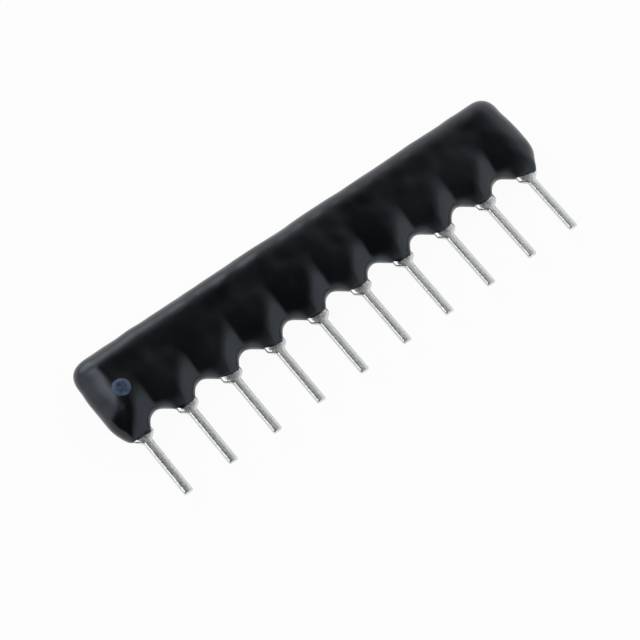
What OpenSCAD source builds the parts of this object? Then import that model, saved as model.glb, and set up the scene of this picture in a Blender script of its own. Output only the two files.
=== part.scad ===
// Conformally coated resistor network with one row of flat leads, lying on its back.
// X runs along the row from lead 1, Y from the lead tips to the body's top edge,
// Z up out of the marked face. Every form is drawn about the leads' middle plane,
// with the lead tips at y = 0, and placed() sets it down on the surface below.

/* [Leads] */
// Number of leads in the row
lead_count = 10; // [4:1:14]
// Spacing of the leads
pitch = 2.54; // [2.4:0.02:2.8]
// Width of a leg
leg_w = 0.48; // [0.36:0.02:0.6]
// Thickness of the strip that the leads are stamped from
strip_t = 0.25; // [0.2:0.01:0.3]
// Length of a leg from its tip to the shoulder
leg_l = 3.28; // [2:0.02:6]
// Width of the shoulder and of the clip above it
shoulder_w = 1.1; // [1:0.02:1.2]
// Height of the shoulder that the coating leaves bare
shoulder_bare = 0.24; // [0.15:0.01:0.4]
// Radius in the corner between leg and shoulder
shoulder_fillet = 0.18; // [0.1:0.01:0.2]
// Radius of the shoulder's outer corners
shoulder_round = 0.1; // [0.04:0.01:0.1]
// Slot between neighbouring fingers of the clip
finger_slot = 0.1; // [0.06:0.01:0.16]
// Height over which the fingers spread to the faces of the substrate
finger_jog = 0.45; // [0.35:0.01:0.5]
// Length of a finger along the substrate
finger_l = 1; // [0.7:0.05:1.1]

/* [Coating] */
// Height of the coating from its teeth to its top edge
coat_h = 4.58; // [4.4:0.02:5.5]
// Thickness of the coating from its back to the crowns of the mounds
coat_t = 2.3; // [2.1:0.05:2.5]
// Length of the coating past the axis of the end leads
coat_end = 1.12; // [1.05:0.01:1.2]
// Plan radius of the body's corners beyond the rounding of its edges
corner_extra = 0.1; // [0.05:0.01:0.3]
// Rise of the mounds above the flat front
mound_rise = 0.2; // [0.1:0.01:0.25]
// Height of a mound's crown above the teeth
mound_crown = 1.58; // [1.5:0.02:1.8]
// Height above the teeth at which a mound dies into the flat front
mound_top = 2.83; // [2.7:0.01:3.1]
// Coating over the face of the strip at the end of a tooth
tooth_face = 0.195; // [0.15:0.005:0.25]
// Coating over the corners of the strip at the end of a tooth
tooth_corner = 0.05; // [0.03:0.005:0.08]
// Coating beside the shoulder in a tooth
tooth_side = 0.045; // [0.03:0.005:0.08]
// Height of the centre of the scallops above the end of the teeth
scallop_up = -0.02; // [-0.05:0.01:0.1]
// Height of the flat body's lower edge above the top of the scallops
body_lift = 0.2; // [0.15:0.01:0.25]
// Plan radius of the lower corners at the ends
end_sweep = 2.2; // [2.1:0.05:2.4]
// Height above the teeth at which the lower corners begin
end_sweep_up = 1.33; // [1.25:0.01:1.4]
// Step of the end mounds back from the ends of the body
end_step = 0.03; // [0.02:0.005:0.04]

/* [Substrate] */
// Thickness of the ceramic plate
substrate_t = 0.64; // [0.5:0.01:0.7]
// Coating past the ends of the plate
cover_end = 0.55; // [0.45:0.01:0.6]
// Coating past the top edge of the plate
cover_top = 0.45; // [0.4:0.01:0.6]
// Coating between the scallops and the lower edge of the plate
cover_low = 0.3; // [0.25:0.01:0.4]

/* [Printed circuit] */
// Thickness of the printed conductors and resistors
film_t = 0.03; // [0.02:0.005:0.04]
// Thickness of the glass print, from the plate
glaze_t = 0.06; // [0.05:0.005:0.08]
// Width of the land under a clip
pad_w = 1.5; // [1.4:0.05:1.7]
// Height of the land from the plate's lower edge
pad_h = 1.5; // [1.4:0.05:1.6]
// Width of the common conductor
bus_h = 0.35; // [0.25:0.05:0.45]
// Bare ceramic above the common conductor
bus_margin = 0.3; // [0.2:0.05:0.4]
// Width of a resistor
resistor_w = 1; // [0.8:0.05:1.2]
// Width of the trimming cut in a resistor
trim_w = 0.06; // [0.04:0.01:0.1]
// Length of the trimming cut
trim_l = 0.4; // [0.2:0.05:0.5]
// Glass past the outer resistors and over the conductors
glaze_margin = 0.12; // [0.08:0.01:0.16]
// Width of the solder on a land
solder_w = 1.3; // [1.2:0.05:1.38]
// Solder over the face of the finger
solder_cover = 0.06; // [0.04:0.01:0.1]
// Land left bare past the end of the solder
solder_margin = 0.05; // [0.03:0.01:0.1]

/* [Mark] */
// Diameter of the dot
dot_d = 0.93; // [0.6:0.01:1]
// Place of the dot along the row from the axis of lead 1
dot_x = 0.38; // [0:0.01:0.5]
// Place of the dot above the teeth
dot_up = 2.11; // [1.9:0.01:2.6]
// Thickness of the ink
ink_t = 0.03; // [0.02:0.005:0.05]

/* [Hidden] */
$fn = 64;
half_t = coat_t / 2;
tooth_y = leg_l + shoulder_bare;
top_y = tooth_y + coat_h;
coat_l = (lead_count - 1) * pitch + 2 * coat_end;

// The flat body between the mounds, whose edges are half-round
body_t = coat_t - mound_rise;
body_z = -mound_rise / 2;
edge_r = body_t / 2;
corner_r = edge_r + corner_extra;

// Scallops between the teeth, whose rims flare like a horn
scallop_r = (pitch - shoulder_w) / 2 - tooth_side;
scallop_y = tooth_y + scallop_up;
scallop_top = scallop_y + scallop_r;
body_y = scallop_top + body_lift;

// A mound's section is a lens, wide enough to cover the corners of the strip in the tooth
tooth_z = strip_t / 2 + tooth_face;
tooth_corner_z = strip_t / 2 + tooth_corner;
mound_axis = (pow(shoulder_w / 2, 2) + pow(tooth_corner_z, 2) - pow(tooth_z, 2))
    / (2 * (tooth_z - tooth_corner_z));
crown_r = mound_axis + half_t;
crown_y = tooth_y + mound_crown;
low_arc = arc_radius(mound_crown, half_t - tooth_z);
high_arc = arc_radius(mound_top - mound_crown, mound_rise);
mound_sink = 0.25;
mound_end_y = tooth_y + mound_top + mound_sink;

// The plate and what is printed on it
plate_y = scallop_top + cover_low;
plate_top = top_y - cover_top;
plate_l = coat_l - 2 * cover_end;
plate_z = substrate_t / 2;
film_z = plate_z + film_t;
pad_top = plate_y + pad_h;
bus_y = plate_top - bus_margin - bus_h;
resistor_h = bus_y - pad_top;

// The clip grips the plate from its fork
fork_y = plate_y - finger_jog;
finger_top = plate_y + finger_l;
finger_w = (shoulder_w - 2 * finger_slot) / 3;

// The solder's section is a segment of a circle that stands on the land
solder_z = film_z + strip_t + solder_cover;
solder_r = arc_radius(solder_w / 2, solder_z - film_z);
solder_l = pad_h - solder_margin - solder_w / 2;

// Radius of the arc that falls by a drop over a run from its crown
function arc_radius(run, drop) = (run * run + drop * drop) / (2 * drop);
function lead_x(i) = (i - (lead_count + 1) / 2) * pitch;

module placed() {
    translate([0, -top_y / 2, half_t]) children();
}

// Extrudes a profile drawn as [y, z] along X, about x = 0
module along_x(length) {
    rotate([90, 0, 90]) linear_extrude(length, center = true) children();
}

// Revolves a profile drawn as [radius, y] about the Y axis
module about_y() {
    rotate([-90, 0, 0]) rotate_extrude() children();
}

// A plate with its edges on the lines of a box
module slab(width, y0, y1, z0, z1) {
    translate([-width / 2, y0, z0]) cube([width, y1 - y0, z1 - z0]);
}

// Half section of a plate with a half-round edge, from its middle outwards
module edge_section(flat, radius) {
    translate([0, -radius]) square([flat, 2 * radius]);
    intersection() {
        translate([flat, 0]) circle(radius);
        translate([flat, -radius]) square([radius, 2 * radius]);
    }
}

// Flat body of the coating: straight edges run into round corners
module body_form() {
    corner_x = coat_l / 2 - corner_r;
    low_y = body_y + corner_r;
    high_y = top_y - corner_r;
    translate([0, 0, body_z]) {
        along_x(2 * corner_x) {
            translate([low_y, 0]) edge_section(high_y - low_y + corner_extra, edge_r);
            translate([low_y, 0]) mirror([1, 0]) edge_section(corner_extra, edge_r);
        }
        for (side = [0, 1]) {
            mirror([side, 0, 0]) translate([corner_x, 0, 0]) {
                translate([0, high_y, 0]) rotate([90, 0, 0]) linear_extrude(high_y - low_y)
                    edge_section(corner_extra, edge_r);
                translate([0, high_y, 0]) rotate_extrude(angle = 90)
                    edge_section(corner_extra, edge_r);
                translate([0, low_y, 0]) rotate([0, 0, -90]) rotate_extrude(angle = 90)
                    edge_section(corner_extra, edge_r);
            }
        }
    }
}

// Profile of a mound from its tooth over its crown to its end inside the body
module mound_profile() {
    intersection() {
        translate([crown_r - low_arc, crown_y]) circle(low_arc);
        translate([0, tooth_y]) square([2 * crown_r, crown_y - tooth_y]);
    }
    intersection() {
        translate([crown_r - high_arc, crown_y]) circle(high_arc);
        translate([0, crown_y]) square([2 * crown_r, mound_end_y - crown_y]);
    }
}

// One mound, lens-shaped across the lead: two revolved forms whose axes lie behind and before it
module mound_form() {
    intersection() {
        translate([0, 0, -mound_axis]) about_y() mound_profile();
        translate([0, 0, mound_axis]) about_y() mound_profile();
    }
}

// Round-edged outline that the end mounds keep within, drawn for the end at +X
module end_outline() {
    end_x = coat_l / 2 - end_step;
    sweep_x = end_x - end_sweep;
    sweep_y = tooth_y + end_sweep_up;
    round_r = half_t + end_step;
    flat = end_sweep - round_r;
    translate([sweep_x, mound_end_y + end_step, 0]) rotate([90, 0, 0])
        linear_extrude(mound_end_y + end_step - sweep_y) edge_section(flat, round_r);
    translate([sweep_x, sweep_y, 0]) rotate([0, 0, -90]) rotate_extrude(angle = 90)
        edge_section(flat, round_r);
    translate([sweep_x - crown_r, tooth_y - end_step, -round_r])
        cube([crown_r, mound_end_y - tooth_y + 2 * end_step, 2 * round_r]);
}

module end_mound_form() {
    intersection() {
        translate([lead_x(lead_count), 0, 0]) mound_form();
        end_outline();
    }
}

// Cutter of one scallop, a horn that opens to the front and to the back
module scallop_form() {
    flare_r = half_t;
    reach = scallop_r + flare_r;
    rotate_extrude() difference() {
        translate([0, -coat_t]) square([reach, 2 * coat_t]);
        translate([reach, 0]) circle(flare_r);
    }
}

module mounds_form() {
    difference() {
        union() {
            for (i = [2:lead_count - 1]) {
                translate([lead_x(i), 0, 0]) mound_form();
            }
            for (side = [0, 1]) {
                mirror([side, 0, 0]) end_mound_form();
            }
        }
        for (i = [1:lead_count - 1]) {
            translate([lead_x(i) + pitch / 2, scallop_y, 0]) scallop_form();
        }
    }
}

module coat_form() {
    body_form();
    mounds_form();
}

// Outline of a lead below its fork: leg, filleted shoulder, rounded outer corners
module strip_outline() {
    side = shoulder_w / 2 - shoulder_round;
    translate([-leg_w / 2, 0]) square([leg_w, fork_y]);
    translate([-side, leg_l]) square([2 * side, fork_y - leg_l]);
    translate([-shoulder_w / 2, leg_l + shoulder_round])
        square([shoulder_w, fork_y - leg_l - shoulder_round]);
    for (turn = [0, 1]) {
        mirror([turn, 0]) {
            translate([side, leg_l + shoulder_round]) circle(shoulder_round);
            difference() {
                translate([leg_w / 2, leg_l - shoulder_fillet])
                    square([shoulder_fillet, shoulder_fillet]);
                translate([leg_w / 2 + shoulder_fillet, leg_l - shoulder_fillet])
                    circle(shoulder_fillet);
            }
        }
    }
}

// Finger of the clip, from the fork to the face of the plate at the given height
module finger_form(face_z) {
    half = strip_t / 2;
    along_x(finger_w) polygon([
        [fork_y, -half], [plate_y, face_z], [finger_top, face_z],
        [finger_top, face_z + strip_t], [plate_y, face_z + strip_t], [fork_y, half]
    ]);
}

module lead_form() {
    linear_extrude(strip_t, center = true) strip_outline();
    finger_form(film_z);
    for (side = [-1, 1]) {
        translate([side * (finger_w + finger_slot), 0, 0]) mirror([0, 0, 1]) finger_form(plate_z);
    }
}

module solder_form() {
    difference() {
        intersection() {
            translate([0, plate_y, solder_z - solder_r]) about_y() {
                square([solder_r, solder_l]);
                intersection() {
                    translate([0, solder_l]) circle(solder_r);
                    translate([0, solder_l]) square(solder_r);
                }
            }
            slab(2 * solder_w, plate_y, pad_top, film_z, solder_z + solder_cover);
        }
        finger_form(film_z);
    }
}

module plate_form() {
    slab(plate_l, plate_y, plate_top, -plate_z, plate_z);
}

module pad_form() {
    slab(pad_w, plate_y, pad_top, plate_z, film_z);
}

module bus_form() {
    run_l = lead_x(lead_count) - lead_x(1) + pad_w;
    slab(run_l, bus_y, bus_y + bus_h, plate_z, film_z);
    translate([lead_x(1), 0, 0]) slab(pad_w, plate_y, bus_y, plate_z, film_z);
}

module resistor_form() {
    difference() {
        slab(resistor_w, pad_top, bus_y, plate_z, film_z);
        translate([resistor_w / 2 - trim_l, pad_top + resistor_h / 2, plate_z])
            cube([trim_l, trim_w, film_t]);
    }
}

module glaze_form() {
    run_l = lead_x(lead_count) - lead_x(2) + resistor_w + 2 * glaze_margin;
    difference() {
        translate([(lead_x(lead_count) + lead_x(2)) / 2, 0, 0])
            slab(run_l, pad_top, bus_y + glaze_margin, plate_z, plate_z + glaze_t);
        bus_form();
        for (i = [2:lead_count]) {
            translate([lead_x(i), 0, 0]) resistor_form();
        }
    }
}

module coating() {
    color([0.06, 0.06, 0.07]) placed() difference() {
        coat_form();
        plate_form();
        bus_form();
        glaze_form();
        for (i = [1:lead_count]) {
            translate([lead_x(i), 0, 0]) {
                lead_form();
                solder_form();
            }
        }
        for (i = [2:lead_count]) {
            translate([lead_x(i), 0, 0]) {
                pad_form();
                resistor_form();
            }
        }
    }
}

// Ink that follows the face of the coating
module pin_1_dot() {
    color([0.35, 0.44, 0.58]) placed() difference() {
        intersection() {
            translate([lead_x(1) + dot_x, tooth_y + dot_up, 0]) cylinder(d = dot_d, h = coat_t);
            translate([0, 0, ink_t]) dot_seat();
        }
        dot_seat();
    }
}

module dot_seat() {
    body_form();
    translate([lead_x(1), 0, 0]) mound_form();
}

module substrate() {
    color([0.93, 0.92, 0.88]) placed() plate_form();
}

module common_bus() {
    color([0.78, 0.77, 0.74]) placed() bus_form();
}

module overglaze() {
    color([0.25, 0.45, 0.35]) placed() glaze_form();
}

module lead(i) {
    color([0.76, 0.77, 0.78]) placed() translate([lead_x(i), 0, 0]) lead_form();
}

module solder(i) {
    color([0.66, 0.67, 0.69]) placed() translate([lead_x(i), 0, 0]) solder_form();
}

module pad(i) {
    color([0.78, 0.77, 0.74]) placed() translate([lead_x(i), 0, 0]) pad_form();
}

module resistor(i) {
    color([0.16, 0.15, 0.15]) placed() translate([lead_x(i + 1), 0, 0]) resistor_form();
}

coating();
pin_1_dot();
substrate();
common_bus();
overglaze();
for (i = [1:lead_count]) {
    lead(i);
    solder(i);
}
for (i = [1:lead_count - 1]) {
    pad(i + 1);
    resistor(i);
}
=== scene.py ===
import math

import bmesh
import bpy
from mathutils import Matrix, Vector
from mathutils.bvhtree import BVHTree


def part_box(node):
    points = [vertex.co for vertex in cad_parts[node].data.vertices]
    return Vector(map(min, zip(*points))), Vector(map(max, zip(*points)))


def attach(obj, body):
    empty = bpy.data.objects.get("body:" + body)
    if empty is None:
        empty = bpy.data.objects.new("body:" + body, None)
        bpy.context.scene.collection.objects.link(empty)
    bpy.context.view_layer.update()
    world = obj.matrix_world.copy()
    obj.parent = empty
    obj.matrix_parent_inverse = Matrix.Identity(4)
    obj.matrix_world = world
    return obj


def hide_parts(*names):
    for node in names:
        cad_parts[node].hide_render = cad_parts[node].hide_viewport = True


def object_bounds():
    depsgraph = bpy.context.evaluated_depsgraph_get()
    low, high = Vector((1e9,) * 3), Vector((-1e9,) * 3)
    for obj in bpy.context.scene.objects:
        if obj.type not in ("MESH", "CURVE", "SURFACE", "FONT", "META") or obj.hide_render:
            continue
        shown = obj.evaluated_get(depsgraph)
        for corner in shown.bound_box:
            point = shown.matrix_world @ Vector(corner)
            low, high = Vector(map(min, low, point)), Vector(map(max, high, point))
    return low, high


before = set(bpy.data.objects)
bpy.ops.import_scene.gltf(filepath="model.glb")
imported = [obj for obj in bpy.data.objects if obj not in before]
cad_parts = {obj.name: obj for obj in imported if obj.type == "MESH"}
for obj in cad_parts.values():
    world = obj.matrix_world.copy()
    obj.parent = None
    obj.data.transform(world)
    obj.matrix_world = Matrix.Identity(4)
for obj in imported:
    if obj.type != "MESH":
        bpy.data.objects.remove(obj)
cadLow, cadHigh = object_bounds()
bpy.context.scene.view_settings.view_transform = "Standard"
print("frame loaded with", len(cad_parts), "nodes")

# Shapes are worked out in millimetres about the leads' middle plane, lead tips at y = 0
mm = 0.001
tipY = cadLow.y
leadZ = sum(corner.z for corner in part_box("lead_1")) / 2
network = {"pitch": 2.54, "leads": 10}


class Wire:
    # a node's output that Python's operators turn into Math nodes
    def __init__(self, tree, socket):
        self.tree = tree
        self.socket = socket

    @staticmethod
    def make(tree, kind, settings=None, sockets=None, out=0):
        # the settings come first, then each socket gets its link or its value
        node = tree.nodes.new(kind)
        for name, value in (settings or {}).items():
            setattr(node, name, value)
        for key, value in (sockets or {}).items():
            if isinstance(value, Wire):
                tree.links.new(value.socket, node.inputs[key])
            else:
                node.inputs[key].default_value = value
        return Wire(tree, node.outputs[out])

    def also(self, out):
        # another output of the same node
        return Wire(self.tree, self.socket.node.outputs[out])

    def math(self, operation, *values):
        sockets = dict(enumerate(values))
        return Wire.make(self.tree, "ShaderNodeMath", {"operation": operation}, sockets)

    def __add__(self, other):
        return self.math("ADD", self, other)

    def __radd__(self, other):
        return self.math("ADD", other, self)

    def __sub__(self, other):
        return self.math("SUBTRACT", self, other)

    def __rsub__(self, other):
        return self.math("SUBTRACT", other, self)

    def __mul__(self, other):
        return self.math("MULTIPLY", self, other)

    def __rmul__(self, other):
        return self.math("MULTIPLY", other, self)

    def __truediv__(self, other):
        return self.math("DIVIDE", self, other)

    def __rtruediv__(self, other):
        return self.math("DIVIDE", other, self)

    def __neg__(self):
        return self.math("MULTIPLY", self, -1.0)

    def __abs__(self):
        return self.math("ABSOLUTE", self)

    def root(self):
        return self.math("SQRT", self)

    def power(self, other):
        return self.math("POWER", self, other)

    def sine(self):
        return self.math("SINE", self)

    def cosine(self):
        return self.math("COSINE", self)

    def most(self, other):
        return self.math("MAXIMUM", self, other)

    def least(self, other):
        return self.math("MINIMUM", self, other)

    def meet(self, other, blend):
        # what two shapes share, with a rounded edge
        return self.math("SMOOTH_MAX", self, other, blend)

    def join(self, other, blend):
        # two shapes together, with a filled corner
        return self.math("SMOOTH_MIN", self, other, blend)

    def below(self, other):
        return self.math("LESS_THAN", self, other)

    def floor(self):
        return self.math("FLOOR", self)

    def ramp(self, low, high, toLow=0.0, toHigh=1.0, smooth=True):
        # runs from toLow to toHigh between low and high
        settings = {"interpolation_type": "SMOOTHSTEP" if smooth else "LINEAR"}
        sockets = {0: self, 1: low, 2: high, 3: toLow, 4: toHigh}
        return Wire.make(self.tree, "ShaderNodeMapRange", settings, sockets)

    def xyz(self):
        split = Wire.make(self.tree, "ShaderNodeSeparateXYZ", None, {0: self})
        return split, split.also(1), split.also(2)


def addObject(name, data):
    thing = bpy.data.objects.new(name, data)
    bpy.context.scene.collection.objects.link(thing)
    return thing


def takeMesh(shape, name):
    mesh = bpy.data.meshes.new(name)
    shape.to_mesh(mesh)
    shape.free()
    return mesh


def runTree(thing, tree, values):
    # gives the tree's inputs their values, evaluates it once and keeps a plain mesh
    modifier = thing.modifiers.new("shape", "NODES")
    modifier.node_group = tree
    for item in tree.interface.items_tree:
        if item.in_out == "INPUT" and item.name in values:
            modifier[item.identifier] = values[item.name]
    bpy.context.view_layer.update()
    shaped = thing.evaluated_get(bpy.context.evaluated_depsgraph_get())
    mesh = bpy.data.meshes.new_from_object(shaped)
    thing.modifiers.remove(modifier)
    thing.data = mesh


def newTree(name, sizes):
    tree = bpy.data.node_groups.new(name, "GeometryNodeTree")
    tree.interface.new_socket("Geometry", in_out="INPUT", socket_type="NodeSocketGeometry")
    for size, value in sizes.items():
        kind = "NodeSocketInt" if isinstance(value, int) else "NodeSocketFloat"
        tree.interface.new_socket(size, in_out="INPUT", socket_type=kind)
    tree.interface.new_socket("Geometry", in_out="OUTPUT", socket_type="NodeSocketGeometry")
    return tree, Wire.make(tree, "NodeGroupInput")


def endTree(tree, geometry, material):
    real = Wire.make(tree, "GeometryNodeRealizeInstances", None, {0: geometry})
    painted = Wire.make(tree, "GeometryNodeSetMaterial", None, {0: real, "Material": material})
    out = tree.nodes.new("NodeGroupOutput")
    tree.links.new(painted.socket, out.inputs[0])


def newMaterial(name):
    material = bpy.data.materials.new(name)
    material.use_nodes = True
    tree = material.node_tree
    shader = tree.nodes["Principled BSDF"]
    place = Wire.make(tree, "ShaderNodeTexCoord", None, None, "Object")
    return material, tree, shader, place


def feed(tree, shader, **values):
    for name, value in values.items():
        socket = shader.inputs[name.replace("_", " ")]
        if isinstance(value, Wire):
            tree.links.new(value.socket, socket)
        else:
            socket.default_value = value


def noise(tree, place, scale, detail=2.0, rough=0.5, stretch=None):
    if stretch:
        place = Wire.make(tree, "ShaderNodeMapping", None, {"Vector": place, "Scale": stretch})
    sockets = {"Vector": place, "Scale": scale, "Detail": detail, "Roughness": rough}
    return Wire.make(tree, "ShaderNodeTexNoise", None, sockets)


def tint(tree, factor, colourA, colourB):
    sockets = {0: factor, 6: (*colourA, 1.0), 7: (*colourB, 1.0)}
    return Wire.make(tree, "ShaderNodeMix", {"data_type": "RGBA"}, sockets, 2)


def bump(tree, height, strength, distance):
    sockets = {"Height": height, "Strength": strength, "Distance": distance}
    return Wire.make(tree, "ShaderNodeBump", None, sockets)


# Materials
def epoxyMaterial():
    look = {"black": (0.0018, 0.002, 0.0023), "grey": (0.0122, 0.0133, 0.015),
            "shine": (0.77, 0.865, 1.0, 1.0), "rough": 0.12, "patches": 420.0, "clouds": 1100.0,
            "grains": 9000.0, "bump": 0.3, "bumpDepth": 0.00004}
    material, tree, shader, place = newMaterial("dippedEpoxy")
    patch = noise(tree, place, look["patches"], 2.0).ramp(0.35, 0.75)
    cloud = noise(tree, place, look["clouds"], 3.0)
    grain = noise(tree, place, look["grains"], 4.0)
    feed(tree, shader, IOR=1.5, Specular_Tint=look["shine"],
         Base_Color=tint(tree, patch * 0.7 + cloud * 0.3, look["black"], look["grey"]),
         Roughness=look["rough"] + cloud * 0.06 + grain * 0.03,
         Normal=bump(tree, cloud * 0.6 + grain * 0.06, look["bump"], look["bumpDepth"]))
    return material


def tinnedMaterial():
    look = {"pale": (0.79, 0.805, 0.805), "dull": (0.57, 0.585, 0.585), "rough": 0.16,
            "streaks": 2600.0, "streakStretch": (1.0, 0.06, 1.0), "mottles": 3000.0,
            "grains": 7500.0, "bump": 0.32, "bumpDepth": 0.00003}
    material, tree, shader, place = newMaterial("tinnedStrip")
    streak = noise(tree, place, look["streaks"], 3.0, 0.6, look["streakStretch"])
    mottle = noise(tree, place, look["mottles"], 3.0)
    grain = noise(tree, place, look["grains"], 2.0).ramp(0.3, 0.7)
    wear = grain * 0.5 + mottle * 0.3 + streak * 0.2
    height = streak * 0.4 + mottle * 0.2 + grain * 0.4
    feed(tree, shader, Metallic=1.0,
         Base_Color=tint(tree, wear, look["dull"], look["pale"]),
         Roughness=look["rough"] + mottle * 0.08 + streak * 0.06 + grain * 0.06,
         Normal=bump(tree, height, look["bump"], look["bumpDepth"]))
    return material


def inkMaterial(centre, radius):
    look = {"deep": (0.008, 0.018, 0.045), "pale": (0.06, 0.1, 0.185), "rough": 0.42,
            "blots": 6000.0, "bump": 0.2, "bumpDepth": 0.00002}
    material, tree, shader, place = newMaterial("markInk")
    x, y, z = place.xyz()
    dx = x - centre.x
    dy = y - centre.y
    out = (dx * dx + dy * dy).root() / radius
    ring = out.ramp(0.45, 0.72) * out.ramp(0.8, 1.0, 1.0, 0.35)  # a paler ring inside the rim
    blot = noise(tree, place, look["blots"], 2.0).ramp(0.35, 0.65)
    feed(tree, shader, IOR=1.48,
         Base_Color=tint(tree, ring * 0.55 + blot * 0.45, look["deep"], look["pale"]),
         Roughness=look["rough"] + blot * 0.2,
         Normal=bump(tree, blot, look["bump"], look["bumpDepth"]))
    return material


def plainMaterial(name, dark, light, rough, metal=0.0, specks=4000.0):
    look = {"bump": 0.2, "bumpDepth": 0.00002}
    material, tree, shader, place = newMaterial(name)
    speck = noise(tree, place, specks, 4.0, 0.6)
    feed(tree, shader, Metallic=metal,
         Base_Color=tint(tree, speck, dark, light),
         Roughness=rough + speck * 0.15,
         Normal=bump(tree, speck, look["bump"], look["bumpDepth"]))
    return material


# Coating: one rule gives the distance of a point from the dipped skin
coat = {
    "Pitch": network["pitch"], "Half Length": 12.5, "Shift": 0.1, "Top": 8.1, "Body Low": 4.4,
    "Body Half": 1.05, "Body Middle": -0.1,
    "Top Round": 1.2, "End Round": 1.33, "Low Round": 1.5, "Corner": 3.0,
    "Tooth End": 3.5, "Tooth Spread": 0.2, "Tooth Slant": 0.3, "Seed": 3.0, "Slant Seed": 20.0,
    "Outer From": 0.2, "Outer To": 0.8, "Outer Drop": 0.35, "Outer Low": 0.6,
    "Outer Crown": 0.5, "Outer Arc": 1.0,
    "Sleeve Half": 0.6, "Sleeve": 0.165, "Sleeve Top": 4.8,
    "Crown": 5.6, "Crown Half": 1.12, "Low Arc": 2.95, "High Arc": 3.0,
    "Mound Top": 0.9, "Mound Slope": 0.5, "Mound Blend": 1.2,
    "Plateau": 0.3, "Widest": 0.55, "Flank": 25.0, "Ridge": 0.2, "Valley": 0.3,
    "Lean": -0.05, "Lean Run": 1.2,
    "Back From": 0.1, "Back To": -0.4, "Back Sink": 0.2, "Sink Low": 3.6, "Sink High": 4.6,
    "Back Rise": 2.0, "Back Wide": 0.35,
    "Scallop Y": 3.4, "Scallop": 0.72,
    "Inset": 0.03, "Sweep": 0.48, "Sweep Top": 4.9, "Sweep Run": 1.5,
    "Blend": 0.3, "Rim": 0.42, "Lip": 0.05,
    "Wave": 0.6, "Uneven": 0.1, "Back Even": 0.7,
}
# the grid on which the skin is first found, and the steps that bring it onto the true surface
coatGrid = {"low": (-13.0, 3.1, -1.4), "high": (13.0, 8.4, 1.4), "voxel": 0.075, "level": 0.5,
            "steps": 3}


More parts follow.
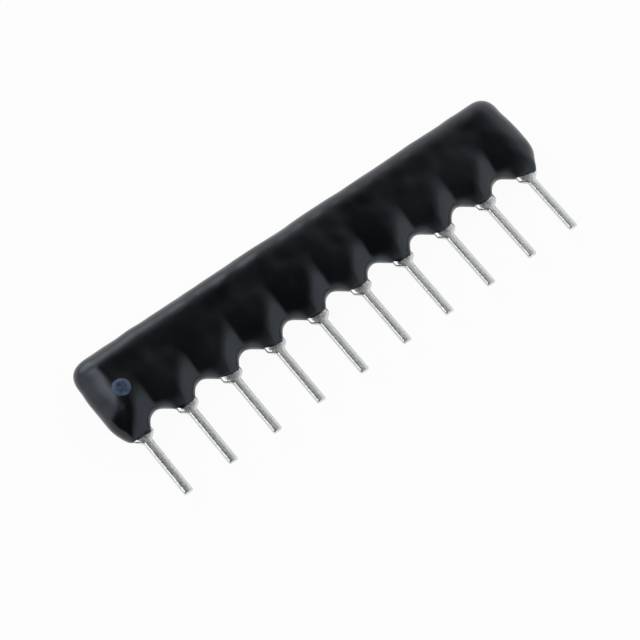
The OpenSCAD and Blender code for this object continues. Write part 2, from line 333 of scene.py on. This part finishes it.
def coatSkin(tree, inputs, spot):
    x, y, z = spot.xyz()
    pitch = inputs["Pitch"]
    half = network["leads"] / 2

    # the nearest lead and the nearest scallop
    index = (x / pitch).floor().most(-half).least(half - 1.0)
    leadX = x - (index + 0.5) * pitch
    gap = (x / pitch + 0.5).floor().most(1.0 - half).least(half - 1.0)
    gapX = x - gap * pitch

    # how far out past the outer leads, and how far back
    outerX = (half - 0.5) * pitch
    outer = abs(x).ramp(outerX - inputs["Outer From"], outerX + inputs["Outer To"])
    back = z.ramp(inputs["Back From"], inputs["Back To"])

    # flat body with rounded edges
    bodyX = abs(x - inputs["Shift"])
    endX = (bodyX - (inputs["Half Length"] - inputs["End Round"])).most(0.0) / inputs["End Round"]
    topY = (y - (inputs["Top"] - inputs["Top Round"])).most(0.0) / inputs["Top Round"]
    bodyLow = inputs["Body Low"] - inputs["Outer Low"] * outer
    lowY = (bodyLow + inputs["Low Round"] - y).most(0.0) / inputs["Low Round"]
    midZ = (z - inputs["Body Middle"]) / inputs["Body Half"]
    corner = inputs["Corner"]
    plan = (endX.power(corner) + topY.power(corner) + lowY.power(corner)).power(2.0 / corner)
    body = ((plan + midZ * midZ).root() - 1.0) * inputs["Body Half"]

    # where each tooth ends: unevenly, a little slanted, lower outside the outer leads
    uneven = Wire.make(tree, "ShaderNodeTexWhiteNoise", {"noise_dimensions": "1D"},
                       {"W": index + inputs["Seed"]})
    slant = Wire.make(tree, "ShaderNodeTexWhiteNoise", {"noise_dimensions": "1D"},
                      {"W": index + inputs["Seed"] + inputs["Slant Seed"]})
    toothEnd = (inputs["Tooth End"] + (uneven - 0.5) * inputs["Tooth Spread"]
                + (slant - 0.5) * inputs["Tooth Slant"] * leadX
                - (abs(x) - outerX).most(0.0) * inputs["Outer Drop"])

    # roof of the mounds: low at the teeth, highest at the crown, flatter at the back
    lowArc = inputs["Low Arc"] - inputs["Outer Arc"] * outer
    highArc = inputs["High Arc"]
    under = (inputs["Crown"] - inputs["Outer Crown"] * outer - y).most(0.0).least(lowArc)
    over = (y - inputs["Crown"]).most(0.0)
    fall = lowArc - (lowArc * lowArc - under * under).root()
    fade = highArc - (highArc * highArc - over * over).root()
    sunk = back * inputs["Back Sink"] * y.ramp(inputs["Sink Low"], inputs["Sink High"])
    roof = abs(z) - (inputs["Crown Half"] - fall - fade - sunk)

    # mound over each lead: a ridge that widens upwards, more so at the back, with a slight lean
    rise = (y - inputs["Tooth End"]).most(0.0)
    backWide = back * (rise * inputs["Back Rise"]).least(1.0) * inputs["Back Wide"]
    plateau = (rise * inputs["Plateau"]).least(inputs["Widest"]) + backWide
    lean = (rise / inputs["Lean Run"]).least(1.0) * (1.0 - back) * inputs["Lean"]
    moundX = x - lean
    ridge = (moundX / pitch).floor().most(-half).least(half - 1.0)
    ridgeX = abs(moundX - (ridge + 0.5) * pitch)
    inner = abs(moundX).below(outerX)
    reach = ridgeX.join(pitch - ridgeX, inputs["Valley"]) * inner
    slope = inputs["Flank"] * (math.pi / 180.0)
    flank = (reach - plateau) * slope.sine() + roof * slope.cosine()
    upper = (y - inputs["Crown"] - inputs["Mound Top"]) * inputs["Mound Slope"]
    mound = roof.meet(flank, inputs["Ridge"]).meet(upper, inputs["Mound Blend"])

    # thin sleeve of epoxy round the strip where a tooth ends
    sleeveX = leadX / inputs["Sleeve Half"]
    sleeveZ = z / inputs["Sleeve"]
    tube = ((sleeveX * sleeveX + sleeveZ * sleeveZ).root() - 1.0) * inputs["Sleeve"]
    sleeve = tube.most(y - inputs["Sleeve Top"])

    # the ends sweep in to the outer teeth
    sweep = (inputs["Sweep Top"] - y).most(0.0) / inputs["Sweep Run"]
    edgeX = inputs["Half Length"] - inputs["Inset"] - inputs["Sweep"] * sweep * sweep
    sweptX = abs(x - inputs["Shift"] * (1.0 - sweep.least(1.0)))
    outX = (sweptX - (edgeX - inputs["End Round"])).most(0.0) / inputs["End Round"]
    ends = ((outX * outX + midZ * midZ).root() - 1.0) * inputs["Body Half"]

    # scallops cut between the teeth
    upY = y - inputs["Scallop Y"]
    scallop = inputs["Scallop"] - (gapX * gapX + upY * upY).root()

    # all of it together, slightly uneven
    teeth = mound.join(sleeve, inputs["Lip"]).meet(ends, inputs["Blend"])
    teeth = teeth.meet(toothEnd - y, inputs["Lip"])
    whole = body.join(teeth, inputs["Blend"]).meet(scallop, inputs["Rim"])
    wave = Wire.make(tree, "ShaderNodeTexNoise", None,
                     {"Vector": spot, "Scale": inputs["Wave"], "Detail": 1.0})
    return whole + (wave - 0.5) * inputs["Uneven"] * (1.0 - back * inputs["Back Even"])


def coatTree(material):
    tree, size = newTree("dippedCoat", coat)
    inputs = {name: size.also(name) for name in coat}
    spot = Wire.make(tree, "GeometryNodeInputPosition")
    skin = coatSkin(tree, inputs, spot)
    low = Vector(coatGrid["low"])
    high = Vector(coatGrid["high"])
    counts = [int(round(side / coatGrid["voxel"])) for side in high - low]
    volume = Wire.make(tree, "GeometryNodeVolumeCube", None, {
        "Density": coatGrid["level"] - skin, "Min": low, "Max": high,
        "Resolution X": counts[0], "Resolution Y": counts[1], "Resolution Z": counts[2]})
    shell = Wire.make(tree, "GeometryNodeVolumeToMesh", {"resolution_mode": "GRID"},
                      {"Volume": volume, "Threshold": coatGrid["level"]})
    outward = Wire.make(tree, "GeometryNodeInputNormal")
    for step in range(coatGrid["steps"]):
        shift = Wire.make(tree, "ShaderNodeVectorMath", {"operation": "SCALE"},
                          {0: outward, "Scale": -skin})
        shell = Wire.make(tree, "GeometryNodeSetPosition", None,
                          {"Geometry": shell, "Offset": shift})
    shell = Wire.make(tree, "GeometryNodeSetShadeSmooth", None, {"Geometry": shell})
    shell = Wire.make(tree, "GeometryNodeTransform", None, {
        "Geometry": shell, "Translation": (0.0, tipY, leadZ), "Scale": (mm, mm, mm)})
    endTree(tree, shell, material)
    return tree


epoxy = epoxyMaterial()
coating = addObject("coatingSkin", bpy.data.meshes.new("coatingSkin"))
runTree(coating, coatTree(epoxy), coat)
print("coating:", len(coating.data.polygons), "faces")

# Leads: one stamped blank, repeated along the row
lead = {
    "Count": network["leads"], "Pitch": network["pitch"] * mm,
    "legHalf": 0.24, "shoulderHalf": 0.55, "stripHalf": 0.125,
    "shoulderLow": 3.05, "shoulderTop": 3.42, "fork": 4.03, "forkLap": 0.1,
    "grip": 4.475, "fingerTop": 5.475, "fingerHalf": 0.15, "fingerStep": 0.4, "fingerSquare": 6.0,
    "frontFace": 0.475, "backFace": 0.445,
    "legBow": 2.0, "legSquare": 3.2, "legTwist": 8.0, "leftBow": 5.0,
    "shoulderBow": 1.6, "shoulderSquare": 2.0,
    "tip": ((0.0, 0.88), (0.02, 0.96), (0.05, 1.0), (0.1, 1.0)),  # height and fullness
    "legStep": 0.5, "legSteps": 6, "shoulderSteps": 12, "ringPoints": 36,
}


def ringLoft(shape, stations):
    # a station holds its place along the lead, the section's middle and half sizes, the bow of
    # its faces, the squareness of its sides and its twist
    rings = []
    for y, midX, halfX, midZ, halfZ, bow, square, twist in stations:
        ring = []
        for i in range(lead["ringPoints"]):
            turn = 2.0 * math.pi * i / lead["ringPoints"]
            c = math.cos(turn)
            s = math.sin(turn)
            sideBow = bow if c > 0 else lead["leftBow"]
            dx = math.copysign(abs(c) ** (2.0 / sideBow), c) * halfX
            dz = math.copysign(abs(s) ** (2.0 / square), s) * halfZ
            px = midX + dx * math.cos(twist) + dz * math.sin(twist)
            pz = midZ - dx * math.sin(twist) + dz * math.cos(twist)
            ring.append(shape.verts.new((px * mm, tipY + y * mm, leadZ + pz * mm)))
        rings.append(ring)
    for ring, following in zip(rings, rings[1:]):
        for i in range(len(ring)):
            j = (i + 1) % len(ring)
            shape.faces.new((ring[i], ring[j], following[j], following[i]))
    shape.faces.new(rings[0])
    shape.faces.new(rings[-1])


def leadBlank():
    shape = bmesh.new()
    leg = lead["legHalf"]
    strip = lead["stripHalf"]
    fork = lead["fork"]
    twist = math.radians(lead["legTwist"])
    legForm = (lead["legBow"], lead["legSquare"], twist)

    # leg from its tip to the shoulder, which untwists as it widens
    stations = [(y, 0.0, leg * fullness, 0.0, strip * fullness, *legForm)
                for y, fullness in lead["tip"]]
    stations += [(lead["legStep"] * i, 0.0, leg, 0.0, strip, *legForm)
                 for i in range(1, lead["legSteps"] + 1)]
    for i in range(lead["shoulderSteps"] + 1):
        t = i / lead["shoulderSteps"]
        y = lead["shoulderLow"] + t * (lead["shoulderTop"] - lead["shoulderLow"])
        ease = t * t * (3.0 - 2.0 * t)
        wide = leg + ease * (lead["shoulderHalf"] - leg)
        bow = lead["legBow"] + ease * (lead["shoulderBow"] - lead["legBow"])
        square = lead["legSquare"] + ease * (lead["shoulderSquare"] - lead["legSquare"])
        stations.append((y, 0.0, wide, 0.0, strip, bow, square, twist * (1.0 - ease)))
    stations.append((fork, 0.0, lead["shoulderHalf"], 0.0, strip,
                     lead["shoulderBow"], lead["shoulderSquare"], 0.0))
    ringLoft(shape, stations)

    # three fingers spread from the fork, one to the front of the plate and two to its back
    fingerForm = (lead["fingerSquare"], lead["fingerSquare"], 0.0)
    for side, face in ((-1, -lead["backFace"]), (0, lead["frontFace"]), (1, -lead["backFace"])):
        midX = side * lead["fingerStep"]
        path = ((fork - lead["forkLap"], 0.0), (fork, 0.0), (lead["grip"], face),
                (lead["fingerTop"], face))
        ringLoft(shape, [(y, midX, lead["fingerHalf"], z, strip, *fingerForm) for y, z in path])
    bmesh.ops.recalc_face_normals(shape, faces=shape.faces)
    mesh = takeMesh(shape, "leadBlank")
    mesh.polygons.foreach_set("use_smooth", [len(face.vertices) == 4 for face in mesh.polygons])
    return mesh


def leadTree(material):
    tree, size = newTree("leadRow", {name: lead[name] for name in ("Count", "Pitch")})
    count = size.also("Count")
    pitch = size.also("Pitch")
    start = Wire.make(tree, "ShaderNodeCombineXYZ", None, {0: (1.0 - count) * pitch * 0.5})
    step = Wire.make(tree, "ShaderNodeCombineXYZ", None, {0: pitch})
    row = Wire.make(tree, "GeometryNodeMeshLine", None,
                    {"Count": count, "Start Location": start, "Offset": step})
    copies = Wire.make(tree, "GeometryNodeInstanceOnPoints", None,
                       {"Points": row, "Instance": size.also("Geometry")})
    endTree(tree, copies, material)
    return tree


tinned = tinnedMaterial()
leads = addObject("leadRow", leadBlank())
runTree(leads, leadTree(tinned), lead)
print("leads:", len(leads.data.polygons), "faces")

# Dot: a film of ink laid on the coating
dot = {"fromLead": 0.38, "up": 5.63, "radius": 0.465, "film": 0.016, "rings": 14, "turns": 64,
       "rimPower": 10, "rimDrop": 1.6, "wobble": 0.012, "ripple": 0.008}


def dotMesh(centre):
    surface = BVHTree.FromObject(coating, bpy.context.evaluated_depsgraph_get())
    above = cadHigh.z + 0.01

    def onCoat(x, y, lift):
        hit = surface.ray_cast(Vector((x, y, above)), Vector((0, 0, -1)))
        return Vector((x, y, hit[0].z + lift))

    shape = bmesh.new()
    film = dot["film"] * mm
    top = shape.verts.new(onCoat(centre.x, centre.y, film))
    under = shape.verts.new(onCoat(centre.x, centre.y, -film))
    # rings run out over the film's top to its rim and back under it, inside the coating
    outward = [i / dot["rings"] for i in range(1, dot["rings"] + 1)]
    levels = [(t, film * (1.0 - t ** dot["rimPower"] * dot["rimDrop"])) for t in outward]
    levels += [(t, -film) for t in reversed(outward[:-1])]
    rings = []
    for t, lift in levels:
        ring = []
        for j in range(dot["turns"]):
            turn = 2.0 * math.pi * j / dot["turns"]
            wobble = (1.0 + dot["wobble"] * math.sin(3.0 * turn + 0.7)
                      + dot["ripple"] * math.sin(7.0 * turn))
            r = t * dot["radius"] * mm * wobble
            spot = onCoat(centre.x + r * math.cos(turn), centre.y + r * math.sin(turn), lift)
            ring.append(shape.verts.new(spot))
        rings.append(ring)
    for j in range(dot["turns"]):
        k = (j + 1) % dot["turns"]
        shape.faces.new((top, rings[0][j], rings[0][k]))
        shape.faces.new((under, rings[-1][k], rings[-1][j]))
        for ring, following in zip(rings, rings[1:]):
            shape.faces.new((ring[j], following[j], following[k], ring[k]))
    mesh = takeMesh(shape, "pinMark")
    mesh.polygons.foreach_set("use_smooth", [True] * len(mesh.polygons))
    return mesh


firstLead = -(network["leads"] - 1) / 2 * network["pitch"]
dotCentre = Vector(((firstLead + dot["fromLead"]) * mm, tipY + dot["up"] * mm, 0.0))
pinMark = addObject("pinMark", dotMesh(dotCentre))
ink = inkMaterial(dotCentre, dot["radius"] * mm)
pinMark.data.materials.append(ink)
print("dot:", len(pinMark.data.polygons), "faces")

# What the coating hides keeps its solids and gets its own finishes
alumina = plainMaterial("alumina", (0.78, 0.77, 0.73), (0.88, 0.87, 0.84), 0.5)
silverPrint = plainMaterial("silverPrint", (0.6, 0.58, 0.54), (0.75, 0.73, 0.7), 0.4, 0.9)
glassPrint = plainMaterial("glassPrint", (0.03, 0.12, 0.08), (0.05, 0.17, 0.11), 0.15)
solder = plainMaterial("solder", (0.5, 0.51, 0.53), (0.68, 0.69, 0.7), 0.25, 1.0, 1500.0)
resistorPrint = plainMaterial("resistorPrint", (0.012, 0.012, 0.012), (0.03, 0.028, 0.027), 0.45)
finishes = (("substrate", alumina), ("common_bus", silverPrint), ("pad_", silverPrint),
            ("overglaze", glassPrint), ("solder_", solder), ("resistor_", resistorPrint),
            ("coating", epoxy), ("lead_", tinned), ("pin_1_dot", ink))
for name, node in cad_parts.items():
    for start, material in finishes:
        if name.startswith(start):
            node.data.materials.clear()
            node.data.materials.append(material)
print("finishes laid on", len(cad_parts), "nodes")

for piece, slot, nodes in (
        (coating, "epoxy", ["coating"]),
        (leads, "tinned_strip", [f"lead_{i}" for i in range(1, network["leads"] + 1)]),
        (pinMark, "ink", ["pin_1_dot"])):
    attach(piece, "root")
    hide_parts(*nodes)

# Studio: a pale surround with a dark ceiling; a pair of numbers says where a ramp starts and ends
studio = {"surround": 1.0, "ceiling": 0.06, "dark": (-0.6, 0.1, 0.76), "darkEdge": (-0.05, 0.55),
          "panel": 2.6, "panelFar": 0.45, "panelEdge": (0.1, -0.22), "panelFade": (-0.25, -0.85),
          "panelLow": (0.1, 0.31), "panelTop": (0.45, 0.75), "topShift": 0.25, "topDim": 0.5,
          "strip": 1.2, "stripBack": (0.6, 0.85), "stripFoot": (0.0, 0.3), "stripTop": (0.64, 0.42),
          "stripRight": (0.37, 0.27)}


def makeWorld():
    world = bpy.data.worlds.new("studio")
    bpy.context.scene.world = world
    world.use_nodes = True
    tree = world.node_tree
    direction = Wire.make(tree, "ShaderNodeTexCoord", None, None, "Generated")
    dark = Vector(studio["dark"]).normalized()
    facing = Wire.make(tree, "ShaderNodeVectorMath", {"operation": "DOT_PRODUCT"},
                       {0: direction, 1: dark}, "Value")
    around = facing.ramp(*studio["darkEdge"], studio["surround"], studio["ceiling"], False)
    x, y, z = direction.xyz()

    # a soft light panel to the upper left, weaker towards the horizon
    top = y.ramp(*studio["panelTop"])
    panel = (x - top * studio["topShift"]).ramp(*studio["panelEdge"])
    panel = panel * x.ramp(*studio["panelFade"], 1.0, studio["panelFar"])
    panel = panel * y.ramp(*studio["panelLow"]) * (1.0 - top * studio["topDim"]) * studio["panel"]

    # a low strip of light behind the part, fading to the right
    strip = y.ramp(*studio["stripBack"]) * z.ramp(*studio["stripFoot"])
    strip = strip * z.ramp(*studio["stripTop"]) * x.ramp(*studio["stripRight"]) * studio["strip"]

    background = tree.nodes["Background"]
    tree.links.new((around + panel + strip).socket, background.inputs["Strength"])
    background.inputs["Color"].default_value = (1.0, 1.0, 1.0, 1.0)


makeWorld()

# Table: seen as plain white, with a share of its own shading for the shadow
floor = {"half": 2.0, "drop": 0.00002, "paint": (0.9, 0.9, 0.9, 1.0), "rough": 0.7, "shadow": 0.05}


def makeFloor():
    shape = bmesh.new()
    bmesh.ops.create_grid(shape, x_segments=1, y_segments=1, size=floor["half"])
    mesh = takeMesh(shape, "table")
    mesh.transform(Matrix.Translation((0.0, 0.0, -floor["drop"])))
    table = addObject("table", mesh)
    material, tree, shader, place = newMaterial("whiteTable")
    feed(tree, shader, Base_Color=floor["paint"], Roughness=floor["rough"])
    path = Wire.make(tree, "ShaderNodeLightPath")
    seen = path.also("Is Camera Ray").most(path.also("Is Glossy Ray"))
    seen = seen.most(path.also("Is Transmission Ray"))
    glow = Wire.make(tree, "ShaderNodeEmission", None,
                     {"Color": (1.0, 1.0, 1.0, 1.0), "Strength": 1.0})
    plain = Wire(tree, shader.outputs[0])
    mixed = Wire.make(tree, "ShaderNodeMixShader", None,
                      {0: seen * (1.0 - floor["shadow"]), 1: plain, 2: glow})
    tree.links.new(mixed.socket, tree.nodes["Material Output"].inputs["Surface"])
    mesh.materials.append(material)


makeFloor()

# Camera: looks down on the part from the left of its lead side
view = {"place": (-0.043776, -0.041739, 0.119888), "right": (0.784408, -0.616558, 0.067536),
        "forward": (0.320078, 0.309120, -0.895542), "lens": 160.58, "sensor": 36.0, "near": 0.001}


def makeCamera():
    data = bpy.data.cameras.new("camera")
    data.sensor_fit = "HORIZONTAL"
    data.sensor_width = view["sensor"]
    data.lens = view["lens"]
    data.clip_start = view["near"]
    camera = addObject("camera", data)
    back = -Vector(view["forward"]).normalized()
    right = Vector(view["right"]).normalized()
    up = back.cross(right)
    turn = Matrix((right, up, back)).transposed().to_4x4()
    camera.matrix_world = Matrix.Translation(view["place"]) @ turn
    bpy.context.scene.camera = camera


makeCamera()
print("studio and camera set")
